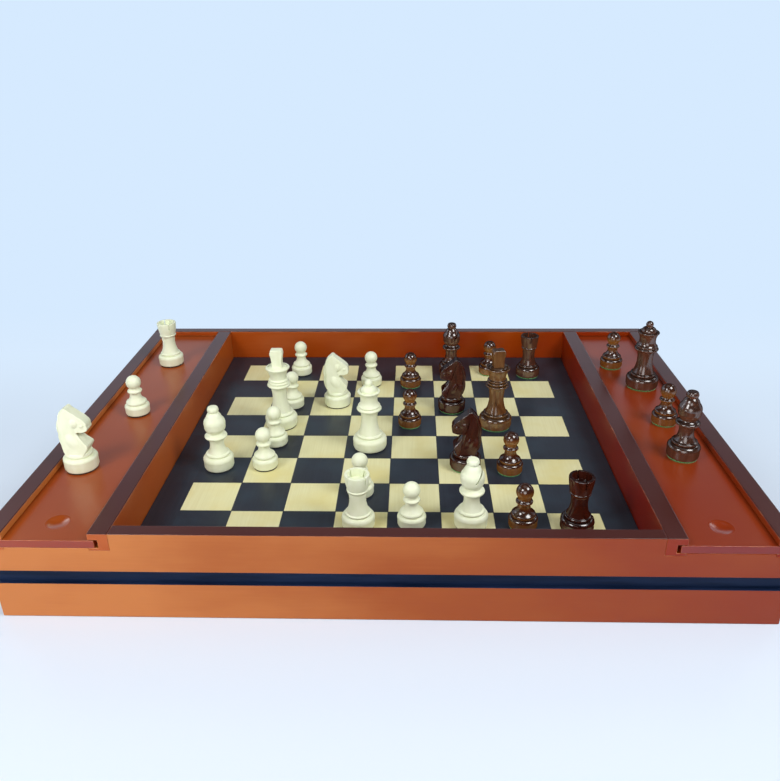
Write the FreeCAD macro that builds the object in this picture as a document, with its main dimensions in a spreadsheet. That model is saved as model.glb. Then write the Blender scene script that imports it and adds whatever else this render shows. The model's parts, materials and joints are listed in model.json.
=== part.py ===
import FreeCAD, Part
import math
import os
import Sketcher

# A wooden chess and draughts box. The playing board lies in a sunk well, and two long
# compartments beside it hold the men under lids that slide in grooves.
# The frame has x to the right, y away from the player, z up, and its origin under the middle.
document = FreeCAD.newDocument("chess_and_draughts_box")

# Driving sizes in millimetres.
SIZES = (
    ("square_side", 40.0),
    ("side_margin", 23.5),
    ("end_margin", 22.5),
    ("board_thickness", 9.0),
    ("board_gap", 0.5),
    ("inlay_thickness", 0.6),
    ("inlay_inset", 0.35),
    ("board_drop", 31.0),
    ("compartment_width", 58.0),
    ("side_wall", 13.5),
    ("divider_wall", 14.0),
    ("end_wall", 10.5),
    ("lower_height", 29.0),
    ("band_height", 10.5),
    ("upper_height", 31.0),
    ("band_recess", 3.0),
    ("arris_radius", 0.8),
    ("panel_thickness", 5.0),
    ("panel_rebate", 6.0),
    ("ledge_width", 10.0),
    ("lid_thickness", 6.0),
    ("lid_drop", 5.5),
    ("lid_grip", 4.0),
    ("groove_side_play", 2.5),
    ("groove_end_play", 0.3),
    ("groove_top_play", 0.4),
    ("notch_drop", 2.0),
    ("dimple_width", 17.0),
    ("dimple_depth", 1.8),
    ("dimple_setback", 21.5),
    ("felt_thickness", 1.2),
    ("king_height", 76.0),
    ("king_radius", 14.6),
    ("queen_height", 65.0),
    ("queen_radius", 14.6),
    ("bishop_height", 56.5),
    ("bishop_radius", 12.3),
    ("knight_height", 53.0),
    ("knight_radius", 12.8),
    ("rook_height", 45.0),
    ("rook_radius", 12.1),
    ("pawn_height", 36.5),
    ("pawn_radius", 10.5),
    ("king_block_thickness", 8.0),
    ("bishop_cut_width", 1.0),
    ("rook_slot_width", 0.8),
    ("knight_neck_thickness", 17.0),
    ("knight_nose_thickness", 9.5),
    ("draught_radius", 14.0),
    ("draught_thickness", 7.0),
    ("draught_dish", 0.8),
    ("draught_rim", 2.2),
    ("draught_spacing", 1.0),
    ("lying_gap", 0.3),
    ("cut_overrun", 5.0),
)
sizes = document.addObject("Spreadsheet::Sheet", "Sizes")
for row, (alias, length) in enumerate(SIZES, 1):
    sizes.set(f"A{row}", alias)
    sizes.set(f"B{row}", str(length))
    sizes.setAlias(f"B{row}", alias)
document.recompute()

# Counts of the board and the draughts.
SQUARES = 8
DRAUGHTS = 12
STACKS = 2

# Places in the frame, as expressions on the sheet: half widths across x and half lengths along y.
HALF_GRID = f"({SQUARES} / 2 * Sizes.square_side)"
BOARD_X = f"({HALF_GRID} + Sizes.side_margin)"
BOARD_Y = f"({HALF_GRID} + Sizes.end_margin)"
WELL_X = f"({BOARD_X} + Sizes.board_gap)"
WELL_Y = f"({BOARD_Y} + Sizes.board_gap)"
DIVIDER_X = f"({WELL_X} + Sizes.divider_wall)"
WALL_X = f"({DIVIDER_X} + Sizes.compartment_width)"
CASE_X = f"({WALL_X} + Sizes.side_wall)"
CASE_Y = f"({WELL_Y} + Sizes.end_wall)"
GROOVE = "(Sizes.lid_grip + Sizes.groove_side_play)"
GROOVE_END = f"({WELL_Y} + Sizes.lid_grip + Sizes.groove_end_play)"
LID_IN_X = f"({DIVIDER_X} - Sizes.lid_grip)"
LID_OUT_X = f"({WALL_X} + Sizes.lid_grip)"
LID_BACK_Y = f"({WELL_Y} + Sizes.lid_grip)"
LID_MIDDLE_X = f"(({DIVIDER_X} + {WALL_X}) / 2)"

# Heights above the table.
UPPER_Z = "(Sizes.lower_height + Sizes.band_height)"
RIM_Z = f"({UPPER_Z} + Sizes.upper_height)"
BOARD_Z = f"({RIM_Z} - Sizes.board_drop)"
LEDGE_Z = f"({BOARD_Z} - Sizes.board_thickness)"
LID_Z = f"({RIM_Z} - Sizes.lid_drop)"
SILL_Z = f"({LID_Z} - Sizes.lid_thickness)"
NOTCH_Z = f"({SILL_Z} - Sizes.notch_drop)"
GROOVE_Z = f"({LID_Z} + Sizes.groove_top_play)"


def number(expression):
    """The value of an expression on the sheet."""
    return float(sizes.evalExpression(expression))


def minus(expression):
    return f"(-({expression}))"


def sided(side, low, high):
    """The pair of x places that lies to the right for side 1 and to the left for side -1."""
    if side > 0:
        return low, high
    return minus(high), minus(low)


def bind_box(item, x_span, y_span, z_span):
    """Ties a box primitive's three edges and its corner to pairs of expressions."""
    for edge, axis, (low, high) in zip(("Length", "Width", "Height"), "xyz", (x_span, y_span, z_span)):
        item.setExpression(edge, f"{high} - {low}")
        item.setExpression(f"Placement.Base.{axis}", low)


def box(name, x_span, y_span, z_span):
    item = document.addObject("Part::Box", name)
    bind_box(item, x_span, y_span, z_span)
    return item


def plane(body, role):
    return next(item for item in body.Origin.OriginFeatures if item.Role == role)


def draw_outline(body, name, role, points):
    """A closed sketch through points, each an x and a y expression and the bulge of the line to it.

    A bulge of 0 is a straight line, and any other is an arc whose height is that share of its chord,
    to the left of the way it is drawn where it is positive. An arc that ends on the upright axis has
    its centre there too, so that it turns into a ball.
    """
    sketch = body.newObject("Sketcher::SketchObject", name)
    sketch.AttachmentSupport = [(plane(body, role), "")]
    sketch.MapMode = "FlatFace"
    places = [FreeCAD.Vector(number(x), number(y), 0) for x, y, bulge in points]
    ends = []
    arcs = []
    for index, (x, y, bulge) in enumerate(points):
        start = places[index - 1]
        end = places[index]
        if bulge == 0:
            sketch.addGeometry(Part.LineSegment(start, end), False)
            ends.append((1, 2))
            continue
        across = end - start
        left = FreeCAD.Vector(-across.y, across.x, 0)
        middle = (start + end) * 0.5 + left * bulge
        if bulge < 0:
            sketch.addGeometry(Part.Arc(start, middle, end), False)
            ends.append((1, 2))
        else:
            sketch.addGeometry(Part.Arc(end, middle, start), False)
            ends.append((2, 1))
        arcs.append(index)
    constraints = []
    for index in range(len(points)):
        following = (index + 1) % len(points)
        joint = Sketcher.Constraint("Coincident", index, ends[index][1], following, ends[following][0])
        constraints.append(joint)
    sketch.addConstraint(constraints)
    for index, (x, y, bulge) in enumerate(points):
        corner = ends[index][1]
        for kind, expression, axis in (("DistanceX", x, -2), ("DistanceY", y, -1)):
            if expression == "0":
                sketch.addConstraint(Sketcher.Constraint("PointOnObject", index, corner, axis))
                continue
            limit = Sketcher.Constraint(kind, -1, 1, index, corner, number(expression))
            made = sketch.addConstraint(limit)
            sketch.setExpression(f"Constraints[{made}]", expression)
    for index in arcs:
        x, y, bulge = points[index]
        last_x, last_y, last_bulge = points[index - 1]
        if "0" in (x, last_x):
            sketch.addConstraint(Sketcher.Constraint("PointOnObject", index, 3, -2))
            continue
        share = (0.25 + bulge * bulge) / (2 * abs(bulge))
        radius = f"hypot({x} - {last_x}; {y} - {last_y}) * {share}"
        made = sketch.addConstraint(Sketcher.Constraint("Radius", index, number(radius)))
        sketch.setExpression(f"Constraints[{made}]", radius)
    return sketch


def rectangle(x_span, y_span):
    (left, right), (low, high) = x_span, y_span
    return [(left, low, 0), (right, low, 0), (right, high, 0), (left, high, 0)]


def pad_beam(body, role, points, start, end):
    """A bar whose section is drawn on an origin plane and runs from start to end along its normal."""
    sketch = draw_outline(body, f"{body.Name}_section", role, points)
    sketch.setExpression("AttachmentOffset.Base.z", start)
    pad = body.newObject("PartDesign::Pad", f"{body.Name}_bar")
    pad.Profile = sketch
    pad.setExpression("Length", f"{end} - {start}")
    return pad


def new_body(name):
    return document.addObject("PartDesign::Body", name)


def cut_box(body, name, x_span, y_span, z_span):
    cut = body.newObject("PartDesign::SubtractiveBox", f"{body.Name}_{name}")
    bind_box(cut, x_span, y_span, z_span)
    return cut


def round_rim(body, along):
    """Rounds the top edges that run along one axis, 0 for x and 1 for y."""
    document.recompute()
    rim = number(RIM_Z)
    reach = number("Sizes.arris_radius")
    base = body.Tip
    names = []
    for index, edge in enumerate(base.Shape.Edges, 1):
        first, last = edge.Vertexes[0].Point, edge.Vertexes[-1].Point
        level = min(first.z, last.z) > rim - reach / 2
        if level and abs(last[along] - first[along]) > reach:
            names.append(f"Edge{index}")
    fillet = body.newObject("PartDesign::Fillet", f"{body.Name}_arris")
    fillet.Base = (base, names)
    fillet.setExpression("Radius", "Sizes.arris_radius")
    return fillet


nodes = []


def keep(item, label):
    item.Label = label
    nodes.append(item)
    return item


# The end walls, front and back, run the full width. Each is three boards, one on another:
# a lower board with a rebate for the bottom panel, a set-back dark strip, and an upper board.
REBATE_X = f"({WALL_X} + Sizes.panel_rebate)"
REBATE_Y = f"({WELL_Y} + Sizes.panel_rebate)"
BAND_X = f"({CASE_X} - Sizes.band_recess)"
BAND_Y = f"({CASE_Y} - Sizes.band_recess)"
CASE_WIDTH = (minus(CASE_X), CASE_X)
WELL_LENGTH = (minus(WELL_Y), WELL_Y)
LOWER = ("0", "Sizes.lower_height")
BAND = ("Sizes.lower_height", UPPER_Z)
UPPER = (UPPER_Z, RIM_Z)
PANEL = ("0", "Sizes.panel_thickness")
ABOVE_RIM = f"({RIM_Z} + Sizes.cut_overrun)"
BELOW_TABLE = minus("Sizes.cut_overrun")

for end, name in ((-1, "front"), (1, "back")):
    thickness = sided(end, WELL_Y, CASE_Y)
    lower = new_body(f"lower_{name}_wall")
    pad_beam(lower, "YZ_Plane", rectangle(thickness, LOWER), *CASE_WIDTH)
    rebate = sided(end, f"({WELL_Y} - Sizes.cut_overrun)", REBATE_Y)
    cut_box(lower, "rebate", (minus(REBATE_X), REBATE_X), rebate, (BELOW_TABLE, PANEL[1]))
    keep(lower, f"lower_{name}_wall")

    strip = box(f"{name}_strip", (minus(BAND_X), BAND_X), sided(end, WELL_Y, BAND_Y), BAND)
    keep(strip, f"{name}_reveal_strip")

# The upper front board is cut away over each compartment, down to the sill that the lid slides on,
# and beside it where the dividers and side walls come through to the front face.
upper_front = new_body("upper_front_wall")
front_thickness = sided(-1, WELL_Y, CASE_Y)
front_cut = (f"({minus(CASE_Y)} - Sizes.cut_overrun)", f"({minus(WELL_Y)} + Sizes.cut_overrun)")
pad_beam(upper_front, "YZ_Plane", rectangle(front_thickness, UPPER), *CASE_WIDTH)
for side, name in ((-1, "left"), (1, "right")):
    doorway = sided(side, WELL_X, f"({CASE_X} + Sizes.cut_overrun)")
    cut_box(upper_front, f"{name}_doorway", doorway, front_cut, (SILL_Z, ABOVE_RIM))
    for part_name, low, high in (
        ("divider_notch", WELL_X, DIVIDER_X),
        ("wall_notch", WALL_X, f"({CASE_X} + Sizes.cut_overrun)"),
    ):
        notch = sided(side, low, high)
        cut_box(upper_front, f"{name}_{part_name}", notch, front_cut, (NOTCH_Z, ABOVE_RIM))
round_rim(upper_front, 0)
keep(upper_front, "upper_front_wall")

# The upper back board takes the far end of each lid in a groove.
upper_back = new_body("upper_back_wall")
pad_beam(upper_back, "YZ_Plane", rectangle(sided(1, WELL_Y, CASE_Y), UPPER), *CASE_WIDTH)
groove_y = (f"({WELL_Y} - Sizes.cut_overrun)", GROOVE_END)
for side, name in ((-1, "left"), (1, "right")):
    groove_x = sided(side, f"({DIVIDER_X} - {GROOVE})", f"({WALL_X} + {GROOVE})")
    cut_box(upper_back, f"{name}_groove", groove_x, groove_y, (SILL_Z, GROOVE_Z))
round_rim(upper_back, 0)
keep(upper_back, "upper_back_wall")

# The side walls stand between the end walls, and their tops run out over the front one.
# The dividers are made alike, in one height, and stand on the bottom panel.
for side, name in ((-1, "left"), (1, "right")):
    wall = sided(side, WALL_X, CASE_X)
    lower = new_body(f"lower_{name}_wall")
    pad_beam(lower, "XZ_Plane", rectangle(wall, LOWER), *WELL_LENGTH)
    rebate = sided(side, f"({WALL_X} - Sizes.cut_overrun)", REBATE_X)
    long_cut = (f"({minus(WELL_Y)} - Sizes.cut_overrun)", f"({WELL_Y} + Sizes.cut_overrun)")
    cut_box(lower, "rebate", rebate, long_cut, (BELOW_TABLE, PANEL[1]))
    keep(lower, f"lower_{name}_wall")

    strip = box(f"{name}_strip", sided(side, WALL_X, BAND_X), WELL_LENGTH, BAND)
    keep(strip, f"{name}_reveal_strip")

    front_end = (f"({minus(CASE_Y)} - Sizes.cut_overrun)", minus(WELL_Y))
    groove_run = (f"({minus(CASE_Y)} - Sizes.cut_overrun)", f"({WELL_Y} + Sizes.cut_overrun)")
    for label, span, foot, mouth, floor in (
        (f"upper_{name}_wall", (WALL_X, CASE_X), UPPER_Z, WALL_X, f"({WALL_X} + {GROOVE})"),
        (f"{name}_divider", (WELL_X, DIVIDER_X), PANEL[1], DIVIDER_X, f"({DIVIDER_X} - {GROOVE})"),
    ):
        board = new_body(label)
        section = rectangle(sided(side, *span), (foot, RIM_Z))
        pad_beam(board, "XZ_Plane", section, minus(WELL_Y), CASE_Y)
        under = sided(side, f"({span[0]} - Sizes.cut_overrun)", f"({span[1]} + Sizes.cut_overrun)")
        low = f"({foot} - Sizes.cut_overrun)"
        cut_box(board, "front_step", under, front_end, (low, NOTCH_Z))
        if mouth == WALL_X:
            across = (f"({mouth} - Sizes.cut_overrun)", floor)
        else:
            across = (floor, f"({mouth} + Sizes.cut_overrun)")
        cut_box(board, "groove", sided(side, *across), groove_run, (SILL_Z, GROOVE_Z))
        round_rim(board, 1)
        keep(board, label)

# The bottom panel lies in the rebates, flush with the lower edges of the walls.
bottom = box("bottom", (minus(REBATE_X), REBATE_X), (minus(REBATE_Y), REBATE_Y), PANEL)
keep(bottom, "bottom_panel")

# Four ledges round the well carry the playing board.
LEDGE_X = f"({WELL_X} - Sizes.ledge_width)"
LEDGE_Y = f"({WELL_Y} - Sizes.ledge_width)"
LEDGE_HEIGHT = (PANEL[1], LEDGE_Z)
for side, name in ((-1, "left"), (1, "right")):
    ledge = box(f"{name}_ledge_box", sided(side, LEDGE_X, WELL_X), WELL_LENGTH, LEDGE_HEIGHT)
    keep(ledge, f"{name}_ledge")
for end, name in ((-1, "front"), (1, "back")):
    ledge_width = (minus(LEDGE_X), LEDGE_X)
    ledge = box(f"{name}_ledge_box", ledge_width, sided(end, LEDGE_Y, WELL_Y), LEDGE_HEIGHT)
    keep(ledge, f"{name}_ledge")

# The playing board is a dark panel. Its light squares are thin pieces let in flush with the top,
# with a dark line left round each one.
light_squares = document.addObject("Part::Compound", "light_inlay")
inlays = []
for column in range(SQUARES):
    for line in range(SQUARES):
        if (column + line) % 2 == 0:
            continue
        spans = []
        for place in (column, line):
            low = f"({place} * Sizes.square_side - {HALF_GRID} + Sizes.inlay_inset)"
            high = f"({place + 1} * Sizes.square_side - {HALF_GRID} - Sizes.inlay_inset)"
            spans.append((low, high))
        inlay_height = (f"({BOARD_Z} - Sizes.inlay_thickness)", BOARD_Z)
        inlays.append(box(f"inlay_{column}_{line}", *spans, inlay_height))
light_squares.Links = inlays
keep(light_squares, "light_squares")

blank = box("board_blank", (minus(BOARD_X), BOARD_X), (minus(BOARD_Y), BOARD_Y), (LEDGE_Z, BOARD_Z))
board = document.addObject("Part::Cut", "board_panel")
board.Base = blank
board.Tool = light_squares
keep(board, "chess_board")

# Each lid slides in from the front and has a round finger dimple near its front end.
for side, name in ((-1, "left"), (1, "right")):
    lid_width = sided(side, LID_IN_X, LID_OUT_X)
    lid_blank = box(f"{name}_lid_blank", lid_width, (minus(CASE_Y), LID_BACK_Y), (SILL_Z, LID_Z))
    ball = document.addObject("Part::Sphere", f"{name}_dimple")
    ball_radius = "(Sizes.dimple_width ^ 2 / 4 + Sizes.dimple_depth ^ 2) / (2 * Sizes.dimple_depth)"
    ball.setExpression("Radius", ball_radius)
    ball.setExpression("Placement.Base.x", f"{side} * {LID_MIDDLE_X}")
    ball.setExpression("Placement.Base.y", f"Sizes.dimple_setback - {CASE_Y}")
    ball.setExpression("Placement.Base.z", f"{LID_Z} - Sizes.dimple_depth + {ball_radius}")
    lid = document.addObject("Part::Cut", f"{name}_lid_board")
    lid.Base = lid_blank
    lid.Tool = ball
    keep(lid, f"{name}_lid")

# Turned outlines of the men, from the middle of the foot up to the tip. Each point is a share of
# the base radius, a share of the height of the wood, and the bulge of the line that leads to it.
FOOT_SHARES = ((0, 0, 0), (0.95, 0, 0), (1.0, 0.03, 0))
KING_SHARES = FOOT_SHARES + (
    (1.0, 0.080, 0),
    (0.80, 0.150, -0.22),
    (0.73, 0.155, 0),
    (0.73, 0.185, -0.40),
    (0.66, 0.190, 0),
    (0.49, 0.490, 0.08),
    (0.54, 0.515, 0),
    (0.66, 0.530, 0),
    (0.66, 0.555, -0.40),
    (0.58, 0.562, 0),
    (0.60, 0.568, 0),
    (0.60, 0.590, -0.40),
    (0.54, 0.597, 0),
    (0.57, 0.602, 0),
    (0.57, 0.620, -0.40),
    (0.51, 0.627, 0),
    (0.69, 0.750, 0.08),
    (0.71, 0.775, -0.30),
    (0.60, 0.780, 0),
    (0.56, 0.765, 0),
    (0.42, 0.785, -0.10),
    (0, 0.790, 0),
)
QUEEN_SHARES = FOOT_SHARES + (
    (1.0, 0.095, 0),
    (0.80, 0.170, -0.22),
    (0.72, 0.175, 0),
    (0.72, 0.210, -0.40),
    (0.65, 0.215, 0),
    (0.51, 0.525, 0.07),
    (0.55, 0.552, 0),
    (0.67, 0.567, 0),
    (0.67, 0.600, -0.45),
    (0.62, 0.610, 0),
    (0.61, 0.640, -0.35),
    (0.50, 0.710, 0.10),
    (0.59, 0.815, 0.08),
    (0.61, 0.842, -0.30),
    (0.53, 0.845, 0),
    (0.46, 0.830, 0),
    (0.20, 0.912, -0.22),
    (0.20, 0.922, 0),
    (0, 1.0, -0.27),
)
BISHOP_SHARES = FOOT_SHARES + (
    (1.0, 0.115, 0),
    (0.82, 0.205, -0.22),
    (0.74, 0.210, 0),
    (0.74, 0.250, -0.40),
    (0.66, 0.255, 0),
    (0.49, 0.450, 0.10),
    (0.50, 0.480, 0),
    (0.66, 0.500, 0),
    (0.66, 0.550, -0.40),
    (0.50, 0.580, 0.10),
    (0.52, 0.600, 0),
    (0.70, 0.700, -0.14),
    (0.54, 0.830, -0.14),
    (0.30, 0.915, -0.08),
    (0.35, 0.925, 0),
    (0.35, 0.980, -0.12),
    (0.29, 1.0, -0.10),
    (0, 1.0, 0),
)
ROOK_SHARES = FOOT_SHARES + (
    (1.0, 0.13, 0),
    (0.82, 0.230, -0.22),
    (0.74, 0.235, 0),
    (0.74, 0.280, -0.40),
    (0.70, 0.285, 0),
    (0.58, 0.620, 0.08),
    (0.62, 0.665, 0.10),
    (0.67, 0.690, 0),
    (0.67, 0.720, -0.30),
    (0.67, 0.730, 0),
    (0.77, 0.985, 0.04),
    (0.75, 1.0, 0),
    (0.59, 1.0, 0),
    (0.53, 0.86, 0),
    (0, 0.85, 0),
)
PAWN_SHARES = FOOT_SHARES + (
    (1.0, 0.145, 0),
    (0.84, 0.250, -0.22),
    (0.78, 0.255, 0),
    (0.74, 0.340, -0.30),
    (0.44, 0.535, 0.14),
    (0.44, 0.550, 0),
    (0.60, 0.565, 0),
    (0.60, 0.630, -0.42),
    (0.42, 0.660, 0),
    (0.42, 0.720, 0),
    (0.56, 0.833, -0.10),
    (0, 1.0, -0.207),
)
KNIGHT_FOOT_SHARES = FOOT_SHARES + (
    (1.0, 0.14, 0),
    (0.86, 0.205, -0.22),
    (0.74, 0.210, 0),
    (0.70, 0.275, -0.30),
    (0, 0.28, 0),
)
# The knight's head from the side, facing right: shares of the base radius and of the height.
KNIGHT_HEAD_SHARES = (
    (-0.62, 0.24, 0),
    (0.48, 0.24, 0),
    (0.78, 0.36, 0),
    (0.74, 0.41, -0.10),
    (0.24, 0.565, 0.04),
    (0.28, 0.61, 0.20),
    (0.54, 0.605, 0),
    (0.82, 0.63, 0),
    (0.90, 0.70, -0.20),
    (0.76, 0.79, -0.10),
    (0.30, 0.90, 0.03),
    (-0.10, 0.945, 0),
    (-0.24, 1.0, 0),
    (-0.38, 0.95, 0),
    (-0.78, 0.83, -0.12),
    (-0.95, 0.58, -0.10),
    (-0.82, 0.32, -0.08),
)
# The king's block from the front: shares of the base radius and of the height.
KING_BLOCK_SHARES = (
    (-0.33, 0.77, 0.05),
    (0.33, 0.77, 0),
    (0.41, 0.95, 0.05),
    (0.34, 1.0, 0),
    (-0.34, 1.0, 0),
    (-0.41, 0.95, 0),
)
# The bishop's saw cut from the side, and how far the rook's slots and the felt reach.
BISHOP_CUT_SHARES = ((0.16, 0.70), (0.80, 0.93))
ROOK_SLOT_FLOOR_SHARE = 0.87
FELT_RADIUS_SHARE = 0.93
KNIGHT_TAPER_SHARE = 0.55


def wood_height(kind):
    return f"(Sizes.{kind}_height - Sizes.felt_thickness)"


def scaled_points(kind, shares):
    """Points of an outline in sheet expressions. A share of 0 stays 0, on the axis."""
    points = []
    for across, up, bulge in shares:
        x = "0" if across == 0 else f"(Sizes.{kind}_radius * {across})"
        y = "0" if up == 0 else f"({wood_height(kind)} * {up})"
        points.append((x, y, bulge))
    return points


def turn_piece(body, kind, shares):
    """Turns an outline round the upright axis."""
    sketch = draw_outline(body, f"{kind}_outline", "XZ_Plane", scaled_points(kind, shares))
    turned = body.newObject("PartDesign::Revolution", f"{kind}_turned")
    turned.Profile = sketch
    turned.ReferenceAxis = (sketch, ["V_Axis"])
    turned.Angle = 360
    return turned


def pad_middle(body, name, kind_of_feature, role, points, thickness):
    """A pad or a pocket of one outline, half to each side of an origin plane."""
    sketch = draw_outline(body, f"{name}_outline", role, points)
    feature = body.newObject(kind_of_feature, name)
    feature.Profile = sketch
    feature.SideType = "Symmetric"
    feature.setExpression("Length", thickness)
    return feature


def make_king():
    body = new_body("king_wood")
    turn_piece(body, "king", KING_SHARES)
    block = scaled_points("king", KING_BLOCK_SHARES)
    pad_middle(body, "king_block", "PartDesign::Pad", "XZ_Plane", block, "Sizes.king_block_thickness")
    return body


def make_queen():
    body = new_body("queen_wood")
    turn_piece(body, "queen", QUEEN_SHARES)
    return body


def make_bishop():
    """The mitre is sawn once on the slant, in from one side."""
    body = new_body("bishop_wood")
    turn_piece(body, "bishop", BISHOP_SHARES)
    (inner_x, inner_z), (outer_x, outer_z) = BISHOP_CUT_SHARES
    corners = []
    for x, z, lift in (
        (inner_x, inner_z, 0),
        (outer_x, outer_z, 0),
        (outer_x, outer_z, 1),
        (inner_x, inner_z, 1),
    ):
        height = f"({wood_height('bishop')} * {z} + {lift} * Sizes.bishop_cut_width)"
        corners.append((f"(Sizes.bishop_radius * {x})", height, 0))
    through = "2 * Sizes.bishop_radius"
    pad_middle(body, "bishop_cut", "PartDesign::Pocket", "XZ_Plane", corners, through)
    return body


def make_rook():
    """The hollow top has four narrow slots, sawn across it twice."""
    body = new_body("rook_wood")
    turn_piece(body, "rook", ROOK_SHARES)
    half = "(Sizes.rook_slot_width / 2)"
    floor = f"({wood_height('rook')} * {ROOK_SLOT_FLOOR_SHARE})"
    slot = rectangle((minus(half), half), (floor, f"({wood_height('rook')} + Sizes.cut_overrun)"))
    for role, name in (("XZ_Plane", "rook_long_slot"), ("YZ_Plane", "rook_cross_slot")):
        pad_middle(body, name, "PartDesign::Pocket", role, slot, "2 * Sizes.rook_radius")
    return body


def make_pawn():
    body = new_body("pawn_wood")
    turn_piece(body, "pawn", PAWN_SHARES)
    return body


def make_knight():
    """A flat carved head, thinner towards the ears, on a turned foot."""
    body = new_body("knight_wood")
    turn_piece(body, "knight", KNIGHT_FOOT_SHARES)
    head = scaled_points("knight", KNIGHT_HEAD_SHARES)
    foot_top = f"({wood_height('knight')} * {KNIGHT_FOOT_SHARES[-2][1]})"
    taper_top = f"({wood_height('knight')} * {KNIGHT_TAPER_SHARE})"
    tall = f"({wood_height('knight')} + Sizes.cut_overrun)"
    neck = "(Sizes.knight_neck_thickness / 2)"
    nose = "(Sizes.knight_nose_thickness / 2)"
    head_body = new_body("knight_head")
    pad_middle(head_body, "knight_profile", "PartDesign::Pad", "XZ_Plane", head, f"2 * {neck}")
    wide = f"({neck} + Sizes.cut_overrun)"
    for side in (-1, 1):
        shaving = [
            (f"({side} * {neck})", foot_top, 0),
            (f"({side} * {nose})", taper_top, 0),
            (f"({side} * {nose})", tall, 0),
            (f"({side} * {wide})", tall, 0),
            (f"({side} * {wide})", foot_top, 0),
        ]
        name = f"knight_cheek_{'left' if side < 0 else 'right'}"
        pad_middle(head_body, name, "PartDesign::Pocket", "YZ_Plane", shaving, "4 * Sizes.knight_radius")
    joined = document.addObject("Part::Fuse", "knight_joined")
    joined.Base = body
    joined.Tool = head_body
    return joined


MAKERS = {
    "king": make_king,
    "queen": make_queen,
    "bishop": make_bishop,
    "knight": make_knight,
    "rook": make_rook,
    "pawn": make_pawn,
}
patterns = {}
for kind, make in MAKERS.items():
    felt = document.addObject("Part::Cylinder", f"{kind}_felt")
    felt.setExpression("Radius", f"Sizes.{kind}_radius * {FELT_RADIUS_SHARE}")
    felt.setExpression("Height", "Sizes.felt_thickness")
    wood = document.addObject("Part::Compound", f"{kind}_raised")
    wood.Links = [make()]
    wood.setExpression("Placement.Base.z", "Sizes.felt_thickness")
    patterns[kind] = [wood, felt]

# The men on the board: name, kind, and the place in squares from the board's front left corner,
# then the turn in degrees.
MEN_ON_BOARD_SHARES = (
    ("cream_bishop_1", "bishop", 0.40, 2.62, 90),
    ("cream_pawn_1", "pawn", 1.37, 2.65, 0),
    ("cream_pawn_2", "pawn", 1.43, 3.63, 0),
    ("cream_king", "king", 1.42, 4.52, 0),
    ("cream_pawn_3", "pawn", 1.55, 5.50, 0),
    ("cream_pawn_4", "pawn", 1.50, 7.47, 0),
    ("cream_knight_1", "knight", 2.63, 5.63, 0),
    ("cream_pawn_5", "pawn", 3.40, 6.78, 0),
    ("cream_queen", "queen", 3.53, 3.50, 0),
    ("cream_pawn_6", "pawn", 3.44, 1.63, 0),
    ("cream_rook_1", "rook", 3.47, 0.55, 45),
    ("cream_pawn_7", "pawn", 4.45, 0.60, 0),
    ("cream_bishop_2", "bishop", 5.54, 0.60, 0),
    ("dark_bishop_1", "bishop", 5.48, 7.50, 0),
    ("dark_pawn_1", "pawn", 6.49, 7.53, 0),
    ("dark_rook_1", "rook", 7.50, 7.39, 0),
    ("dark_pawn_2", "pawn", 4.41, 6.73, 0),
    ("dark_pawn_3", "pawn", 4.40, 4.55, 0),
    ("dark_knight_1", "knight", 5.40, 5.36, 180),
    ("dark_king", "king", 6.37, 4.52, 10),
    ("dark_knight_2", "knight", 5.56, 2.68, 180),
    ("dark_pawn_4", "pawn", 6.47, 2.51, 0),
    ("dark_pawn_5", "pawn", 6.49, 0.57, 0),
    ("dark_rook_2", "rook", 7.46, 0.50, 10),
)
# The men on the lids: name, kind, side, the place off the lid's middle line as a share of the
# compartment's width, the place in squares from the board's front edge, and the turn.
MEN_ON_LIDS_SHARES = (
    ("cream_rook_2", "rook", -1, 0.02, 6.64, 30),
    ("cream_pawn_8", "pawn", -1, -0.02, 3.85, 0),
    ("cream_knight_2", "knight", -1, 0.20, 1.52, 0),
    ("dark_pawn_6", "pawn", 1, -0.18, 6.50, 0),
    ("dark_queen", "queen", 1, 0.13, 5.35, 0),
    ("dark_pawn_7", "pawn", 1, 0.11, 3.49, 0),
    ("dark_bishop_2", "bishop", 1, 0.065, 2.06, 100),
)


def stand_piece(label, kind, x, y, z, turn):
    """One of the men, wood and felt, turned about its axis and set down at its place."""
    piece = document.addObject("Part::Compound", label)
    piece.Links = patterns[kind]
    upright = FreeCAD.Rotation(FreeCAD.Vector(0, 0, 1), turn)
    piece.Placement = FreeCAD.Placement(FreeCAD.Vector(), upright)
    for axis, expression in zip("xyz", (x, y, z)):
        piece.setExpression(f"Placement.Base.{axis}", expression)
    return keep(piece, label)


for label, kind, column, line, turn in MEN_ON_BOARD_SHARES:
    x = f"{column} * Sizes.square_side - {HALF_GRID}"
    y = f"{line} * Sizes.square_side - {HALF_GRID}"
    stand_piece(label, kind, x, y, BOARD_Z, turn)
for label, kind, side, offset, line, turn in MEN_ON_LIDS_SHARES:
    x = f"{side} * ({LID_MIDDLE_X} + {offset} * Sizes.compartment_width)"
    y = f"{line} * Sizes.square_side - {HALF_GRID}"
    stand_piece(label, kind, x, y, LID_Z, turn)

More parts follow.
